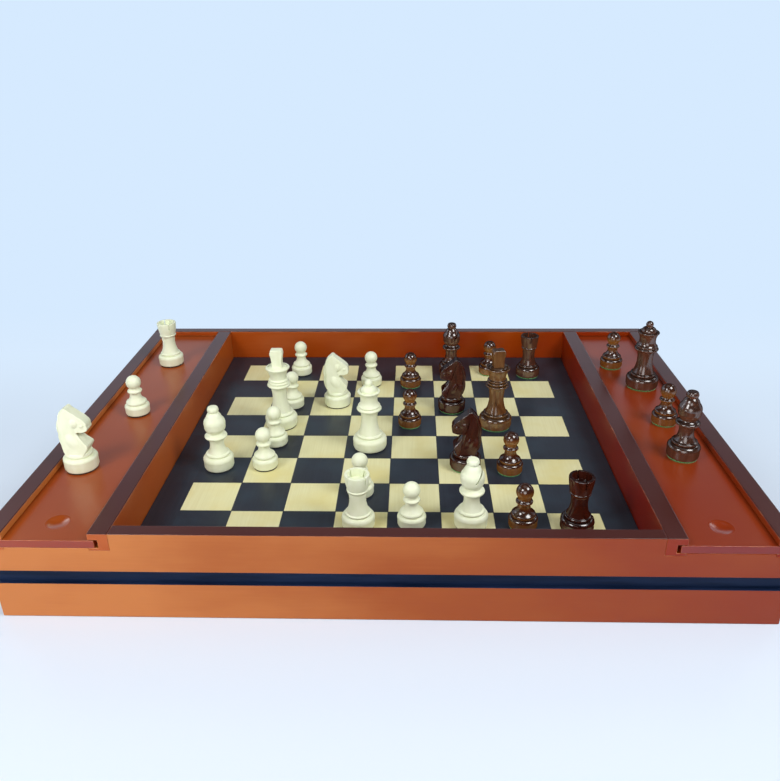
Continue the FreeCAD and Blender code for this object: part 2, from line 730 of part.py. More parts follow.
# One draught: a turned disc, dished a little on both faces inside a raised rim.
dish = "Sizes.draught_dish"
draught = new_body("draught_disc")
draught_points = [
    ("0", dish, 0),
    ("0", f"(Sizes.draught_thickness - {dish})", 0),
    ("(Sizes.draught_radius - 2 * Sizes.draught_rim)", f"(Sizes.draught_thickness - {dish})", 0),
    ("(Sizes.draught_radius - Sizes.draught_rim)", "Sizes.draught_thickness", 0),
    (f"(Sizes.draught_radius - {dish})", "Sizes.draught_thickness", 0),
    ("Sizes.draught_radius", f"(Sizes.draught_thickness - {dish})", 0),
    ("Sizes.draught_radius", dish, 0),
    (f"(Sizes.draught_radius - {dish})", "0", 0),
    ("(Sizes.draught_radius - Sizes.draught_rim)", "0", 0),
    ("(Sizes.draught_radius - 2 * Sizes.draught_rim)", dish, 0),
]
disc_sketch = draw_outline(draught, "draught_outline", "XZ_Plane", draught_points)
disc_turned = draught.newObject("PartDesign::Revolution", "draught_turned")
disc_turned.Profile = disc_sketch
disc_turned.ReferenceAxis = (disc_sketch, ["V_Axis"])
disc_turned.Angle = 360

# Each colour's twelve draughts are stored in two stacks, one behind the other, at the back of
# one compartment.
DRAUGHT_PITCH = "(2 * Sizes.draught_radius + Sizes.draught_spacing)"
for side, label in ((-1, "cream_draughts"), (1, "dark_draughts")):
    discs = []
    for count in range(DRAUGHTS):
        stack, level = count % STACKS, count // STACKS
        disc = document.addObject("Part::Compound", f"{label}_{count}")
        disc.Links = [draught]
        disc.setExpression("Placement.Base.x", f"{side} * {LID_MIDDLE_X}")
        along = f"{WELL_Y} - {DRAUGHT_PITCH} / 2 - {stack} * {DRAUGHT_PITCH}"
        disc.setExpression("Placement.Base.y", along)
        disc.setExpression("Placement.Base.z", f"{PANEL[1]} + {level} * Sizes.draught_thickness")
        discs.append(disc)
    stacks = document.addObject("Part::Compound", f"{label}_stacks")
    stacks.Links = discs
    keep(stacks, label)

# The eighth dark pawn lies on its side in front of the dark draughts, on the rim of its foot and
# its head.
HEAD_RADIUS_SHARE = PAWN_SHARES[-2][0]
HEAD_HEIGHT_SHARE = PAWN_SHARES[-2][1]
stored = document.addObject("Part::Compound", "stored_pawn")
stored.Links = patterns["pawn"]
drop = number(f"Sizes.pawn_radius * {1 - HEAD_RADIUS_SHARE}")
reach = number(f"{wood_height('pawn')} * {HEAD_HEIGHT_SHARE}")
tilt = math.degrees(math.atan2(drop, reach))
stored.Placement = FreeCAD.Placement(
    FreeCAD.Vector(),
    FreeCAD.Rotation(FreeCAD.Vector(1, 0, 0), 90 + tilt),
)
stored.setExpression("Placement.Base.x", LID_MIDDLE_X)
document.recompute()
lying = stored.Shape.optimalBoundingBox(False)
stack_front = f"({WELL_Y} - {STACKS} * {DRAUGHT_PITCH})"
stored.setExpression("Placement.Base.y", f"{stack_front} - {lying.YMax} - Sizes.draught_spacing")
stored.setExpression("Placement.Base.z", f"{PANEL[1]} + {-lying.ZMin} + Sizes.lying_gap")
keep(stored, "dark_pawn_8")

document.recompute()
faults = [item.Name for item in document.Objects if {"Invalid", "Error"} & set(item.State)]
for item in nodes:
    shape = item.Shape
    if shape.isNull() or not shape.isValid() or not shape.Solids:
        faults.append(item.Label)
if faults:
    raise RuntimeError(f"not built: {faults}")

os.makedirs("parts", exist_ok=True)
for item in nodes:
    item.Shape.exportStep(f"parts/{item.Label}.step")
    box_of = item.Shape.BoundBox
    corners = (box_of.XMin, box_of.XMax, box_of.YMin, box_of.YMax, box_of.ZMin, box_of.ZMax)
    places = " ".join(f"{corner:.1f}" for corner in corners)
    print(f"{item.Label}: {len(item.Shape.Solids)} solids, {item.Shape.Volume:.0f} mm3, {places}")
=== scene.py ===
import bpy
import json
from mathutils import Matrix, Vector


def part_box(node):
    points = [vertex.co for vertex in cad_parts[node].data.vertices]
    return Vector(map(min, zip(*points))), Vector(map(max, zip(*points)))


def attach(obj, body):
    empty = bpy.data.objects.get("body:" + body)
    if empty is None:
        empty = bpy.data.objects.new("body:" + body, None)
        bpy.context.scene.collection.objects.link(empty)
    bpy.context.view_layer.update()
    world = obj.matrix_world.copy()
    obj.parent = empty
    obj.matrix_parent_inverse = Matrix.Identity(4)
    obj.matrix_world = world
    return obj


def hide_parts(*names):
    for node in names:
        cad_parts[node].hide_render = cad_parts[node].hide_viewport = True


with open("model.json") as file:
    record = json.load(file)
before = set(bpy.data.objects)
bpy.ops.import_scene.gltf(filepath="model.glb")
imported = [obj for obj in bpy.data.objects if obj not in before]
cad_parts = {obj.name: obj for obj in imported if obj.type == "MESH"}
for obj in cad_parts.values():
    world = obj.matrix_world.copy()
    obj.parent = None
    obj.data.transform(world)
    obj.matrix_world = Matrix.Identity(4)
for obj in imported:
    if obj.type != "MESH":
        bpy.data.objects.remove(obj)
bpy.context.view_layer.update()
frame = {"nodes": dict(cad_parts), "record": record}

import json
import math

import bpy
from mathutils import Matrix, Vector

scene = bpy.context.scene
scene.view_settings.view_transform = "Standard"

# The box stands on a white table in front of a pale blue backdrop, looked down on from the front.
# The table is one large sheet, white in front and bluer behind, and soft lamps hang round it.
# It is clear from below, so that the underside of the box shows there.
MM = 0.001


def linear(code):
    """A colour written as sRGB hex, as the linear values that a shader takes."""
    shares = [int(code[place : place + 2], 16) / 255 for place in (1, 3, 5)]
    return tuple(
        s / 12.92 if s <= 0.04045 else ((s + 0.055) / 1.055) ** 2.4 for s in shares
    ) + (1.0,)


def add(tree, kind, inputs=None, **settings):
    """A shader node with its settings. An input is a value, or an output that is linked to it."""
    made = tree.nodes.new("ShaderNode" + kind)
    for name, value in settings.items():
        setattr(made, name, value)
    for name, value in (inputs or {}).items():
        if isinstance(value, bpy.types.NodeSocket):
            tree.links.new(value, made.inputs[name])
        else:
            made.inputs[name].default_value = value
    return made


def finish_named(name, **values):
    """A material with one principled shader, whose even values sit on its own sockets."""
    material = bpy.data.materials.new(name)
    material.use_nodes = True
    shader = material.node_tree.nodes["Principled BSDF"]
    for socket, value in values.items():
        shader.inputs[socket.replace("_", " ")].default_value = value
    return material, material.node_tree, shader


def ramp(tree, factor, *stops):
    """A colour ramp through stops, each a place from 0 to 1 and a hex colour."""
    made = add(tree, "ValToRGB", {"Fac": factor})
    elements = made.color_ramp.elements
    for index, (place, code) in enumerate(stops):
        element = elements[index] if index < 2 else elements.new(place)
        element.position = place
        element.color = linear(code)
    return made.outputs["Color"]


def seen_rays(tree):
    """1 on rays that look, mirror or shine through, and 0 on those that only carry light."""
    rays = add(tree, "LightPath")
    through = add(
        tree,
        "Math",
        {0: rays.outputs["Is Glossy Ray"], 1: rays.outputs["Is Transmission Ray"]},
        operation="MAXIMUM",
    )
    return add(
        tree,
        "Math",
        {0: rays.outputs["Is Camera Ray"], 1: through.outputs[0]},
        operation="MAXIMUM",
    ).outputs[0]


def clear_selection():
    if bpy.context.object and bpy.context.object.mode != "OBJECT":
        bpy.ops.object.mode_set(mode="OBJECT")
    bpy.ops.object.select_all(action="DESELECT")


VIEW_PLACE = Vector((18.43, -598.10, 367.75)) * MM
VIEW_RIGHT = Vector((0.99955, 0.02801, -0.01061))
VIEW_DOWN = Vector((0.00239, -0.42738, -0.90407))
VIEW_AHEAD = Vector((-0.02986, 0.90364, -0.42725))
VIEW_LENS = 34.7
VIEW_NEAREST = 0.01
TABLE_HALF = 6.0
TABLE_CELLS = 24
TABLE_FRONT, TABLE_BACK = -0.35, 0.45
HAZE_NEAR, HAZE_FAR = -0.15, 0.3
EDGE_NEAR, EDGE_FAR = 0.55, 1.3
TABLE_DROP = 0.1 * MM
TOUCH_REACH = 10 * TABLE_DROP
BACKDROP_BLUE = "#D6EAFF"
SKY_LEAN, BEHIND_REACH = 0.08, 0.15
FILL = 0.2

camera = bpy.data.objects.new("camera", bpy.data.cameras.new("camera"))
scene.collection.objects.link(camera)
camera.data.lens = VIEW_LENS
camera.data.clip_start = VIEW_NEAREST
turned = Matrix((VIEW_RIGHT, -VIEW_DOWN, -VIEW_AHEAD)).transposed().to_quaternion()
camera.matrix_world = Matrix.LocRotScale(VIEW_PLACE, turned, None)
scene.camera = camera

clear_selection()
bpy.ops.mesh.primitive_grid_add(
    x_subdivisions=TABLE_CELLS,
    y_subdivisions=TABLE_CELLS,
    size=2 * TABLE_HALF,
    location=(0, 0, -TABLE_DROP),
)
table = bpy.context.object
table.name = "table"
material, tree, shader = finish_named("white_table", Roughness=0.6)
spot = add(tree, "TexCoord").outputs["Object"]
place = add(tree, "SeparateXYZ", {"Vector": spot})
back = add(
    tree,
    "MapRange",
    {"Value": place.outputs["Y"], "From Min": TABLE_FRONT, "From Max": TABLE_BACK},
)
shade = ramp(tree, back.outputs["Result"], (0.0, "#E2EEFC"), (1.0, BACKDROP_BLUE))
tree.links.new(shade, shader.inputs["Base Color"])
haze = add(
    tree,
    "MapRange",
    {"Value": place.outputs["Y"], "From Min": HAZE_NEAR, "From Max": HAZE_FAR},
    interpolation_type="SMOOTHSTEP",
)
share = add(tree, "Math", {0: haze.outputs[0], 1: seen_rays(tree)}, operation="MULTIPLY")
rays = add(tree, "LightPath")
out = add(tree, "VectorMath", {0: spot}, operation="LENGTH").outputs["Value"]
edge = add(
    tree, "MapRange", {
        "Value": out, "From Min": EDGE_NEAR, "From Max": EDGE_FAR
    }, interpolation_type="SMOOTHSTEP"
)
far = add(
    tree, "Math", {0: edge.outputs[0], 1: rays.outputs["Is Camera Ray"]}, operation="MULTIPLY"
)
share = add(tree, "Math", {0: share.outputs[0], 1: far.outputs[0]}, operation="MAXIMUM")
glow = add(tree, "Emission", {"Color": shade, "Strength": 1.0})
mixed = add(tree, "MixShader", {"Fac": share.outputs[0], 1: shader.outputs[0], 2: glow.outputs[0]})
touching = add(
    tree, "Math", {0: rays.outputs["Ray Length"], 1: TOUCH_REACH}, operation="LESS_THAN"
)
below = add(tree, "NewGeometry").outputs["Backfacing"]
open_share = add(tree, "Math", {0: touching.outputs[0], 1: below}, operation="MAXIMUM")
clear = add(tree, "BsdfTransparent")
mixed = add(
    tree, "MixShader", {"Fac": open_share.outputs[0], 1: mixed.outputs[0], 2: clear.outputs[0]}
)
tree.links.new(mixed.outputs[0], tree.nodes["Material Output"].inputs["Surface"])
table.data.materials.append(material)

world = bpy.data.worlds.new("studio")
scene.world = world
world.use_nodes = True
tree = world.node_tree
for old in list(tree.nodes):
    tree.nodes.remove(old)
aim = add(tree, "SeparateXYZ", {"Vector": add(tree, "TexCoord").outputs["Generated"]})
leaning = add(
    tree, "Math", {0: aim.outputs["X"], 1: SKY_LEAN, 2: aim.outputs["Z"]}, operation="MULTIPLY_ADD"
)
sky = ramp(
    tree,
    leaning.outputs[0],
    (0.0, BACKDROP_BLUE),
    (0.54, "#3A3634"),
    (0.34, "#D2E2F2"),
    (0.45, "#98A4B2"),
)
behind = add(
    tree,
    "MapRange",
    {"Value": aim.outputs["Y"], "From Min": -BEHIND_REACH, "From Max": BEHIND_REACH},
)
room = add(
    tree, "Mix", {"Factor": behind.outputs[0], "A": linear("#302C2A"), "B": sky}, data_type="RGBA"
)
straight = add(tree, "LightPath").outputs["Is Camera Ray"]
shown = add(
    tree,
    "Mix",
    {"Factor": straight, "A": room.outputs[2], "B": linear(BACKDROP_BLUE)},
    data_type="RGBA",
)
seen = add(tree, "Background", {"Color": shown.outputs[2], "Strength": 1.0})
fill = add(tree, "Background", {"Color": linear("#F4F6FA"), "Strength": FILL})
mixed = add(tree, "MixShader", {"Fac": seen_rays(tree), 1: fill.outputs[0], 2: seen.outputs[0]})
add(tree, "OutputWorld", {"Surface": mixed.outputs[0]})

for name, spot, aimed_at, width, watts in (
    ("softbox_left", (-0.62, -0.66, 0.82), (0.0, 0.0, 0.05), 0.42, 5.0),
    ("softbox_right", (0.64, -0.42, 0.95), (0.0, 0.0, 0.05), 0.52, 7.0),
    ("lamp_above", (0.0, 0.1, 1.4), (0.0, 0.0, 0.0), 1.0, 1.2),
    ("lamp_front", (-0.1, -1.3, 0.42), (0.0, 0.0, 0.05), 0.8, 4.7),
    ("lamp_low", (-0.62, -0.6, 0.12), (-0.25, -0.15, 0.04), 0.22, 0.6),
    ("lamp_back_left", (-0.86, 0.4, 0.56), (-0.225, -0.17, 0.06), 0.2, 0.4),
    ("lamp_back_right", (0.82, 0.42, 0.6), (0.225, -0.17, 0.06), 0.2, 0.4),
):
    lamp = bpy.data.objects.new(name, bpy.data.lights.new(name, "AREA"))
    scene.collection.objects.link(lamp)
    lamp.data.shape = "DISK"
    lamp.data.size = width
    lamp.data.energy = watts
    facing = (Vector(aimed_at) - Vector(spot)).to_track_quat("-Z", "Y")
    lamp.matrix_world = Matrix.LocRotScale(Vector(spot), facing, None)

# The walls are stained beech boards under semi-gloss lacquer, in an orange mahogany colour.
# Each board is butted and glued to the next, with its long edges sanded round by hand.
# The stain lies darker on the rim, and the lacquer is rubbed through to paler wood on the edges.
# The lacquer also carries painted light: its colour grows lighter towards the left end, as where
# light falls from the left.
EASED_EDGE = 0.5 * MM
STREAK_WIDTH, STREAK_LENGTH = 1.6 * MM, 40 * MM
CLOUD_WIDTH = 60 * MM
PAINTED_LIGHT_REACH = 270 * MM
ORANGE_PEEL = 2.5 * MM
CHIP_SPACING = 45 * MM
CHIP_WIDTH = 0.9 * MM
CHIP_STRENGTH = 0.75
RUBBED_WIDTH, RUBBED_LENGTH = 6 * MM, 25 * MM
CLOUD_SHARE, DEPTH_SHARE = 0.88, 0.5
# On the inner faces of the boards that run across, the painted light is held nearer one even
# level.
EVEN_SHARE, EVEN_DRIFT = 0.6, 0.3
RELIEF = 0.2 * MM
LACQUER_ROUGHNESS, DIMPLE_ROUGHNESS = 0.3, 0.22
FLAT, LEVEL, STEEP = 0.9, 0.9999, 0.5
SMOOTH_ANGLE = math.radians(40)
RIM_DEPTH = 1.0 * MM


def wood_place(tree, along, width, length, offset=0.0):
    """Object coordinates stretched so that one unit is one streak across and along the grain."""
    scale = [1 / width] * 3
    scale[along] = 1 / length
    spot = add(tree, "TexCoord").outputs["Object"]
    return add(
        tree, "Mapping", {"Vector": spot, "Scale": scale, "Location": (offset,) * 3}
    ).outputs[0]


def blend(tree, factor, first, second, mode="MIX"):
    """Two colours mixed by a factor."""
    made = add(tree, "Mix", data_type="RGBA", blend_type=mode)
    for socket, value in (
        (made.inputs[0], factor), (made.inputs[6], first), (made.inputs[7], second)
    ):
        if isinstance(value, bpy.types.NodeSocket):
            tree.links.new(value, socket)
        else:
            socket.default_value = value
    return made.outputs[2]


def lacquered_mahogany(name, along, dark, middle, light, worn, ior=1.4, painted_light_left=0.57):
    """Stained wood under sprayed lacquer, faintly streaked and cloudy, with painted light that
    makes it lighter towards the left.
    """
    material, tree, shader = finish_named(name, IOR=ior)
    streaks = add(
        tree,
        "TexNoise",
        {
            "Vector": wood_place(tree, along, STREAK_WIDTH, STREAK_LENGTH),
            "Scale": 1.0,
            "Detail": 4.0,
            "Roughness": 0.6,
        },
    )
    clouds = add(
        tree,
        "TexNoise",
        {
            "Vector": wood_place(tree, along, CLOUD_WIDTH, 2 * CLOUD_WIDTH, 3.7),
            "Scale": 1.0,
            "Detail": 4.0,
        },
    )
    mixed = add(tree, "Mix", {"Factor": CLOUD_SHARE}, data_type="FLOAT")
    tree.links.new(streaks.outputs["Fac"], mixed.inputs[2])
    tree.links.new(clouds.outputs["Fac"], mixed.inputs[3])
    # Painted light: the stain is lighter towards the left end and redder towards the right, by the
    # object's X.
    sideways = add(tree, "SeparateXYZ", {"Vector": add(tree, "TexCoord").outputs["Object"]})
    painted_light_drift = add(
        tree,
        "MapRange",
        {
            "Value": sideways.outputs["X"],
            "From Min": -PAINTED_LIGHT_REACH,
            "From Max": PAINTED_LIGHT_REACH,
            "To Min": painted_light_left,
            "To Max": 0.0,
        },
    )
    inside = add(tree, "Attribute", attribute_name="inside").outputs["Fac"]
    even = add(
        tree, "Math", {0: inside, 1: EVEN_SHARE if along == 0 else 0.0}, operation="MULTIPLY"
    )
    painted_light_drift = add(
        tree,
        "Mix",
        {"Factor": even.outputs[0], "A": painted_light_drift.outputs[0], "B": EVEN_DRIFT},
        data_type="FLOAT",
    )
    depth = add(
        tree,
        "Math",
        {0: mixed.outputs[0], 1: DEPTH_SHARE, 2: painted_light_drift.outputs[0]},
        operation="MULTIPLY_ADD",
    )
    stain = ramp(tree, depth.outputs[0], (0.25, dark), (0.75, light), (0.5, middle))
    rubbed = add(tree, "Attribute", attribute_name="rubbed")
    patchy = add(
        tree, "TexNoise", {
            "Vector": wood_place(tree, along, RUBBED_WIDTH, RUBBED_LENGTH, 1.3),
            "Scale": 1.0,
            "Detail": 5.0,
        }
    )
    bare = add(
        tree, "MapRange", {
            "Value": patchy.outputs["Fac"], "From Min": 0.5, "From Max": 0.68, "To Max": 0.6
        }
    )
    bare = add(tree, "Math", {0: bare.outputs[0], 1: rubbed.outputs["Fac"]}, operation="MULTIPLY")
    colour = blend(tree, bare.outputs[0], stain, linear(worn))
    cells = add(
        tree,
        "TexVoronoi",
        {
            "Vector": wood_place(tree, along, CHIP_SPACING, CHIP_SPACING, 0.4),
            "Scale": 1.0,
            "Randomness": 1.0,
        },
    )
    near = add(
        tree, "Math", {
            0: cells.outputs["Distance"], 1: CHIP_WIDTH / CHIP_SPACING / 2
        }, operation="LESS_THAN"
    )
    chip = add(tree, "Math", {0: near.outputs[0], 1: CHIP_STRENGTH}, operation="MULTIPLY")
    colour = blend(tree, chip.outputs[0], colour, linear("#D9BFA0"))
    # Darker and redder inside: darker stain on the sawn ends, and painted shade on the inner walls
    # of the well.
    deeper_stain_and_shade = add(
        tree,
        "HueSaturation",
        {"Color": colour, "Fac": inside, "Hue": 0.487, "Saturation": 1.04, "Value": 0.87},
    )
    tree.links.new(deeper_stain_and_shade.outputs[0], shader.inputs["Base Color"])
    uneven = add(
        tree, "TexNoise", {
            "Vector": wood_place(tree, along, ORANGE_PEEL, ORANGE_PEEL),
            "Scale": 1.0,
            "Detail": 1.0,
        }
    )
    bump = add(
        tree, "Bump", {"Height": uneven.outputs["Fac"], "Strength": 0.05, "Distance": RELIEF}
    )
    lines = add(
        tree,
        "Bump",
        {
            "Height": streaks.outputs["Fac"],
            "Strength": 0.03,
            "Distance": RELIEF,
            "Normal": bump.outputs[0],
        },
    )
    tree.links.new(lines.outputs[0], shader.inputs["Normal"])
    fingered = add(tree, "Attribute", attribute_name="dimple")
    smoother = add(
        tree,
        "MapRange",
        {
            "Value": fingered.outputs["Fac"],
            "To Min": LACQUER_ROUGHNESS,
            "To Max": DIMPLE_ROUGHNESS,
        },
    )
    tree.links.new(smoother.outputs[0], shader.inputs["Roughness"])
    return material


FACE_STAIN = ("#8C3009", "#9E4A10", "#C07236", "#DDA070")
RIM_STAIN = ("#451C16", "#4F2926", "#603A36", "#B4714D")
LID_STAIN = ("#842C08", "#94400F", "#A24C16", "#C8814F")
# Each finish takes a share of painted light that lightens its left end: 0.57 on the faces, 0.2 on
# the rim, 0.35 on the lids.
face_lacquers = [
    lacquered_mahogany(f"mahogany_lacquer_{axis}", along, *FACE_STAIN)
    for along, axis in enumerate("xy")
]
rim_lacquers = [
    lacquered_mahogany(f"dark_rim_lacquer_{axis}", along, *RIM_STAIN, 1.5, 0.2)
    for along, axis in enumerate("xy")
]
lid_finish = lacquered_mahogany("mahogany_lacquer_lids", 1, *LID_STAIN, 1.6, 0.35)

# The boards that run across, and the space of the well. The painted light from the left is weaker
# on their inner faces.
ACROSS = [f"{part}_{end}_wall" for part in ("lower", "upper") for end in ("front", "back")]
WELL = (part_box("left_divider")[0], Vector((*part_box("right_divider")[1].xy, 1.0)))
WELL[0].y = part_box("upper_front_wall")[1].y - 1 * MM
WELL[1].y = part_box("upper_back_wall")[0].y + 1 * MM


def pick(piece):
    """Makes a piece the only selected one, and the active one."""
    clear_selection()
    piece.select_set(True)
    bpy.context.view_layer.objects.active = piece


def weigh_normals(piece):
    """Lets the large faces look flat up to the rounded edges."""
    piece.modifiers.new("weighted", "WEIGHTED_NORMAL").keep_sharp = True
    bpy.ops.object.modifier_apply(modifier="weighted")


def eased_board(node, materials, rim_height=None):
    """A board of the case with its edges sanded round. Its top takes the second material."""
    board = bpy.data.objects.new(f"{node}_board", frame["nodes"][node].data.copy())
    scene.collection.objects.link(board)
    board.data.materials.clear()
    for material in materials:
        board.data.materials.append(material)
    pick(board)
    bpy.ops.object.mode_set(mode="EDIT")
    bpy.ops.mesh.select_all(action="SELECT")
    bpy.ops.mesh.remove_doubles(threshold=0.005 * MM)
    bpy.ops.mesh.dissolve_limited(angle_limit=math.radians(0.5))
    bpy.ops.object.mode_set(mode="OBJECT")
    rounding = board.modifiers.new("eased", "BEVEL")
    rounding.width = EASED_EDGE
    rounding.segments = 3
    rounding.limit_method = "ANGLE"
    rounding.angle_limit = math.radians(50)
    bpy.ops.object.modifier_apply(modifier="eased")
    bpy.ops.object.shade_smooth_by_angle(angle=SMOOTH_ANGLE)
    weigh_normals(board)
    rubbed = board.data.attributes.new("rubbed", "FLOAT", "FACE")
    dimple = board.data.attributes.new("dimple", "FLOAT", "FACE")
    inside = board.data.attributes.new("inside", "FLOAT", "FACE")
    for face in board.data.polygons:
        flat = max(abs(share) for share in face.normal)
        rubbed.data[face.index].value = 1.0 if flat < FLAT else 0.0
        dimple.data[face.index].value = 1.0 if FLAT < face.normal.z < LEVEL else 0.0
        # Marks the sawn ends, which take darker stain, and the inner walls of the well, which take
        # painted shade.
        inward = all(low < share < high for share, low, high in zip(face.center, WELL[0], WELL[1]))
        sawn_end = node not in ACROSS and abs(face.normal.y) > FLAT
        inner_face = inward and flat > FLAT and abs(face.normal.z) < STEEP
        inside.data[face.index].value = 1.0 if sawn_end or inner_face else 0.0
        face.material_index = 0
        if rim_height is not None and face.normal.z > STEEP and face.center.z > rim_height:
            face.material_index = 1
    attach(board, "case")
    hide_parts(node)
    return board


# The set-back strips between the lower and upper boards are painted with gloss black lacquer, and
# the tops of the lower boards in front of them too. They keep a faint blue shine.
material, tree, shader = finish_named(
    "gloss_black_lacquer", Roughness=0.4, IOR=1.2
)
brushed = add(
    tree, "TexNoise", {"Vector": wood_place(tree, 0, 4 * MM, 50 * MM), "Scale": 1.0, "Detail": 3.0}
)
tree.links.new(
    ramp(
        tree, brushed.outputs["Fac"], (0.35, "#0C1930"), (0.65, "#182642")
    ), shader.inputs["Base Color"]
)
wavy = add(tree, "Bump", {"Height": brushed.outputs["Fac"], "Strength": 0.1, "Distance": RELIEF})
tree.links.new(wavy.outputs[0], shader.inputs["Normal"])
for end in ("front", "back", "left", "right"):
    strip = frame["nodes"][f"{end}_reveal_strip"]
    strip.data.materials.clear()
    strip.data.materials.append(material)
for node, along in (
    ("lower_front_wall", 0),
    ("lower_back_wall", 0),
    ("lower_left_wall", 1),
    ("lower_right_wall", 1),
):
    eased_board(node, [face_lacquers[along], material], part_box(node)[1].z - RIM_DEPTH)

# The upper boards form the rim. The front one is cut down over each compartment, and the dividers
# and side boards run out over it to the front face. Their tops carry the darker stain.
RIM_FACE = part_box("upper_back_wall")[1].z - RIM_DEPTH
for node, along in (
    ("upper_front_wall", 0),
    ("upper_back_wall", 0),
    ("upper_left_wall", 1),
    ("upper_right_wall", 1),
    ("left_divider", 1),
    ("right_divider", 1),
):
    eased_board(node, [face_lacquers[along], rim_lacquers[along]], RIM_FACE)

# The bottom panel and the ledges that carry the playing board are thin plywood and plain strips,
# only stained and hardly lacquered.
material, tree, shader = finish_named("stained_plywood", Roughness=0.62, IOR=1.5)
fibres = add(
    tree,
    "TexNoise",
    {
        "Vector": wood_place(tree, 0, 1.6 * MM, 70 * MM),
        "Scale": 1.0,
        "Detail": 4.0,
        "Roughness": 0.65,
    },
)
tree.links.new(
    ramp(
        tree, fibres.outputs["Fac"], (0.3, "#5E3119"), (0.7, "#8A5230")
    ), shader.inputs["Base Color"]
)
raised = add(tree, "Bump", {"Height": fibres.outputs["Fac"], "Strength": 0.3, "Distance": RELIEF})
tree.links.new(raised.outputs[0], shader.inputs["Normal"])
for name in ("bottom_panel", "front_ledge", "back_ledge", "left_ledge", "right_ledge"):
    plain = frame["nodes"][name]
    plain.data.materials.clear()
    plain.data.materials.append(material)

# The playing board is a loose panel in charcoal stained veneer under satin lacquer. Pale veneer
# squares are let in flush, each cut from another part of the sheet, so that their grain differs.
SQUARE = 40 * MM
GRAIN_WIDTH, GRAIN_LENGTH = 1.4 * MM, 45 * MM


def veneer(name, dark, light, warm, roughness, tint):
    """Thin straight-grained veneer, whose grain and shade jump from one square to the next."""
    material, tree, shader = finish_named(name, Roughness=roughness, IOR=1.45)
    spot = add(tree, "TexCoord").outputs["Object"]
    squares = add(tree, "VectorMath", {0: spot, 1: (SQUARE,) * 3}, operation="DIVIDE")
    cell = add(tree, "VectorMath", {0: squares.outputs[0]}, operation="FLOOR")
    flat = add(tree, "VectorMath", {0: cell.outputs[0], 1: (1, 1, 0)}, operation="MULTIPLY")
    chance = add(tree, "TexWhiteNoise", {"Vector": flat.outputs[0]}, noise_dimensions="3D")
    jump = add(
        tree, "VectorMath", {0: chance.outputs["Color"], 1: (9, 9, 9)}, operation="MULTIPLY"
    )
    stretched = add(
        tree, "Mapping", {
            "Vector": spot, "Scale": (1 / GRAIN_WIDTH, 1 / GRAIN_LENGTH, 1 / GRAIN_WIDTH)
        }
    )
    moved = add(tree, "VectorMath", {0: stretched.outputs[0], 1: jump.outputs[0]}, operation="ADD")
    grain = add(
        tree, "TexNoise", {
            "Vector": moved.outputs[0],
            "Scale": 1.0,
            "Detail": 5.0,
            "Roughness": 0.6,
            "Distortion": 0.4,
        }
    )
    patches = add(
        tree,
        "TexNoise",
        {
            "Vector": add(
                tree, "VectorMath", {0: squares.outputs[0], 1: jump.outputs[0]}, operation="ADD"
            ).outputs[0],
            "Scale": 1.4,
            "Detail": 3.0,
        },
    )
    shaded = ramp(tree, grain.outputs["Fac"], (0.2, dark), (0.8, light))
    patchy = add(
        tree, "MapRange", {"Value": patches.outputs["Fac"], "From Min": 0.45, "From Max": 0.75}
    )
    colour = blend(tree, patchy.outputs[0], shaded, linear(warm))
    shift = add(
        tree, "MapRange", {
            "Value": chance.outputs["Value"], "To Min": 1 - tint, "To Max": 1 + tint
        }
    )
    varied = add(tree, "HueSaturation", {"Color": colour, "Value": shift.outputs[0]})
    tree.links.new(varied.outputs[0], shader.inputs["Base Color"])
    bump = add(
        tree, "Bump", {"Height": grain.outputs["Fac"], "Strength": 0.04, "Distance": 0.15 * MM}
    )
    tree.links.new(bump.outputs[0], shader.inputs["Normal"])
    return material


for name, finish in (
    ("chess_board", veneer("charcoal_veneer", "#21252F", "#2C313C", "#2B3742", 0.36, 0.06)),
    ("light_squares", veneer("pale_veneer", "#DCD7A2", "#E8E5B6", "#DED494", 0.4, 0.05)),
):
    panel = frame["nodes"][name]
    panel.data.materials.clear()
    panel.data.materials.append(finish)

# The lids are flat boards of the same mahogany lacquer with eased edges. They run in grooves in
# the side walls and dividers, and each has a shallow round dimple for a finger near its front end.
for side in ("left", "right"):
    lid = eased_board(f"{side}_lid", [lid_finish])
    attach(lid, f"{side}_lid")

# The men are turned from close-grained wood on a lathe, dipped in lacquer, with felt glued under
# the foot. The light ones are sprayed cream, the dark ones stained brown under thick varnish.
FELT_THICKNESS = 1.2 * MM
FELT_SHARE = 0.93
TURNING_STEPS = 64
TURNING_WELD = 0.01 * MM
SANDED_EDGE = 0.18 * MM
KING_HEIGHT, QUEEN_HEIGHT, BISHOP_HEIGHT = 76 * MM, 65 * MM, 56.5 * MM
KNIGHT_HEIGHT, ROOK_HEIGHT, PAWN_HEIGHT = 53 * MM, 45 * MM, 36.5 * MM
KING_RADIUS, QUEEN_RADIUS, BISHOP_RADIUS = 14.6 * MM, 14.6 * MM, 12.3 * MM
KNIGHT_RADIUS, ROOK_RADIUS, PAWN_RADIUS = 12.8 * MM, 12.1 * MM, 10.5 * MM

material, tree, shader = finish_named("cream_sprayed_lacquer", Roughness=0.4, IOR=1.45)
mottle = add(
    tree, "TexNoise", {"Vector": wood_place(tree, 2, 5 * MM, 14 * MM), "Scale": 1.0, "Detail": 4.0}
)
tree.links.new(
    ramp(
        tree, mottle.outputs["Fac"], (0.3, "#EAF0CE"), (0.7, "#F1F6DB")
    ), shader.inputs["Base Color"]
)
soft = add(tree, "Bump", {"Height": mottle.outputs["Fac"], "Strength": 0.06, "Distance": 0.3 * MM})
tree.links.new(soft.outputs[0], shader.inputs["Normal"])
cream_lacquer = material


